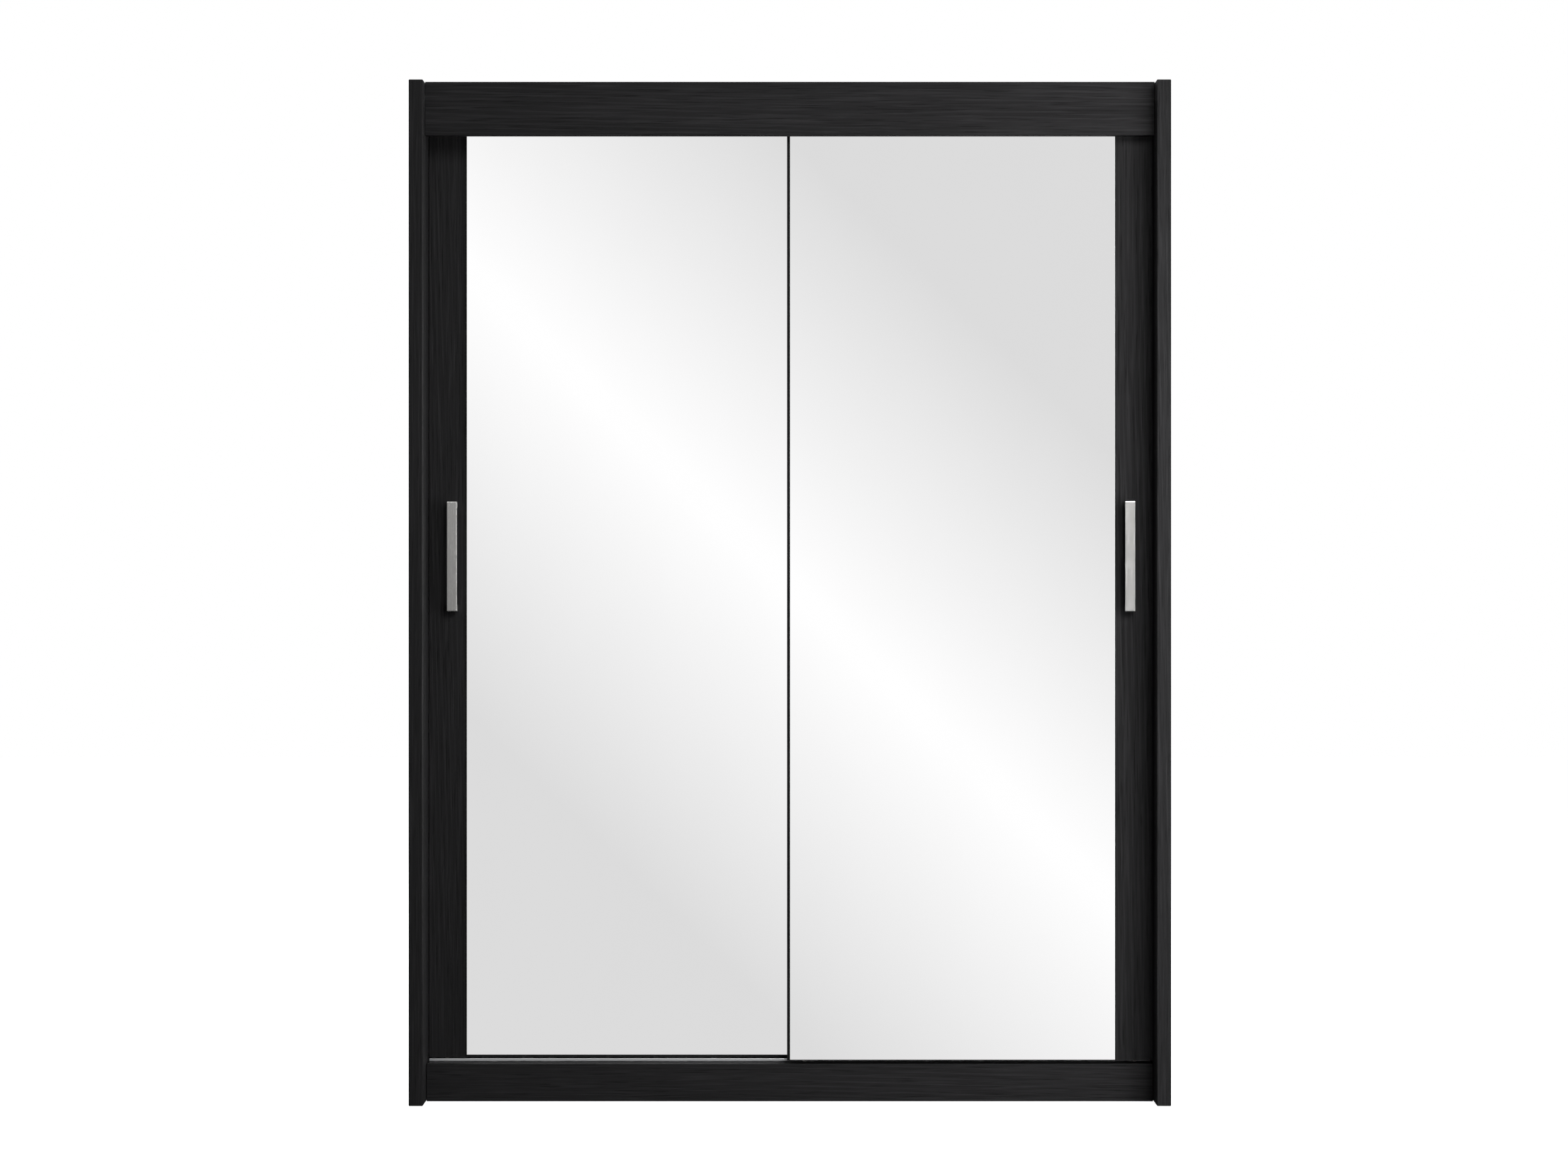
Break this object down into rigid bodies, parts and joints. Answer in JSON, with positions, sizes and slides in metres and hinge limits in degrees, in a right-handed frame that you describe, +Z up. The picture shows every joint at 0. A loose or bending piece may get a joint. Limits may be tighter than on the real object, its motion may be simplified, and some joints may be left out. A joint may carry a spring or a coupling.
{
  "type": "sliding door wardrobe",
  "caption": "Free-standing wardrobe with mirror doors that slide past each other on grooved rollers, bar handles, shelves and a hanging rail.",
  "frame": {"origin": "on the floor, under the middle of the carcass", "axes": "+X to the right seen from the front, +Y from the doors to the back, +Z up"},
  "size_m": [1.5, 0.6, 2.02],
  "materials": {
    "laminate": "black wood-grain laminate on board, fine pores, low sheen",
    "hardboard": "thin fibreboard, black foil inside and raw brown fibre outside",
    "mirror": "plain silvered glass with ground edges",
    "handle": "satin nickel look, brushed along its length",
    "aluminium": "satin anodised extrusion",
    "steel": "zinc-plated or chromed small parts",
    "nylon": "moulded black nylon",
    "roller": "natural nylon"
  },
  "bodies": {
    "carcass": {"left_side_panel": "laminate", "right_side_panel": "laminate", "top_board": "laminate", "bottom_board": "laminate", "centre_divider": "laminate", "header_fascia": "laminate", "front_plinth": "laminate", "rear_plinth": "laminate", "plinth_support": "laminate", "back_panel_left": "hardboard", "back_panel_right": "hardboard", "hat_shelf": "laminate", "storage_shelf_1": "laminate", "storage_shelf_2": "laminate", "storage_shelf_3": "laminate", "storage_shelf_4": "laminate", "hanging_rail": "steel", "rail_bracket_left": "steel", "rail_bracket_right": "steel", "bottom_track": "aluminium", "top_track": "aluminium", "rear_track_closed_stop": "nylon", "rear_track_open_stop": "nylon", "front_track_closed_stop": "nylon", "front_track_open_stop": "nylon"},
    "rear_door": {"rear_door_panel": "laminate", "rear_door_mirror": "mirror", "rear_door_handle": "handle", "rear_door_handle_screw_upper": "steel", "rear_door_handle_screw_lower": "steel", "rear_door_roller_housing_left": "nylon", "rear_door_roller_axle_left": "steel", "rear_door_top_guide_left": "nylon", "rear_door_roller_housing_right": "nylon", "rear_door_roller_axle_right": "steel", "rear_door_top_guide_right": "nylon"},
    "front_door": {"front_door_panel": "laminate", "front_door_mirror": "mirror", "front_door_handle": "handle", "front_door_handle_screw_upper": "steel", "front_door_handle_screw_lower": "steel", "front_door_roller_housing_left": "nylon", "front_door_roller_axle_left": "steel", "front_door_top_guide_left": "nylon", "front_door_roller_housing_right": "nylon", "front_door_roller_axle_right": "steel", "front_door_top_guide_right": "nylon"},
    "rear_door_roller_left": {"rear_door_roller_left": "roller", "rear_door_roller_bush_left": "steel"},
    "rear_door_roller_right": {"rear_door_roller_right": "roller", "rear_door_roller_bush_right": "steel"},
    "front_door_roller_left": {"front_door_roller_left": "roller", "front_door_roller_bush_left": "steel"},
    "front_door_roller_right": {"front_door_roller_right": "roller", "front_door_roller_bush_right": "steel"}
  },
  "joints": [
    {"name": "rear_door_slide", "type": "slide", "parent": "carcass", "child": "rear_door", "axis": [1, 0, 0], "range_m": [0, 0.7]},
    {"name": "front_door_slide", "type": "slide", "parent": "carcass", "child": "front_door", "axis": [1, 0, 0], "range_m": [-0.7, 0]},
    {"name": "rear_door_roller_left_spin", "type": "hinge", "parent": "rear_door", "child": "rear_door_roller_left", "pos_m": [-0.6865, -0.181, 0.08975], "axis": [0, 1, 0], "continuous": true},
    {"name": "rear_door_roller_right_spin", "type": "hinge", "parent": "rear_door", "child": "rear_door_roller_right", "pos_m": [-0.0285, -0.181, 0.08975], "axis": [0, 1, 0], "continuous": true},
    {"name": "front_door_roller_left_spin", "type": "hinge", "parent": "front_door", "child": "front_door_roller_left", "pos_m": [0.0285, -0.222, 0.08975], "axis": [0, 1, 0], "continuous": true},
    {"name": "front_door_roller_right_spin", "type": "hinge", "parent": "front_door", "child": "front_door_roller_right", "pos_m": [0.6865, -0.222, 0.08975], "axis": [0, 1, 0], "continuous": true}
  ],
  "couplings": [
    {"joint": "rear_door_roller_left_spin", "follows": "rear_door_slide", "rad_per_m": 133.33},
    {"joint": "rear_door_roller_right_spin", "follows": "rear_door_slide", "rad_per_m": 133.33},
    {"joint": "front_door_roller_left_spin", "follows": "front_door_slide", "rad_per_m": 133.33},
    {"joint": "front_door_roller_right_spin", "follows": "front_door_slide", "rad_per_m": 133.33}
  ]
}
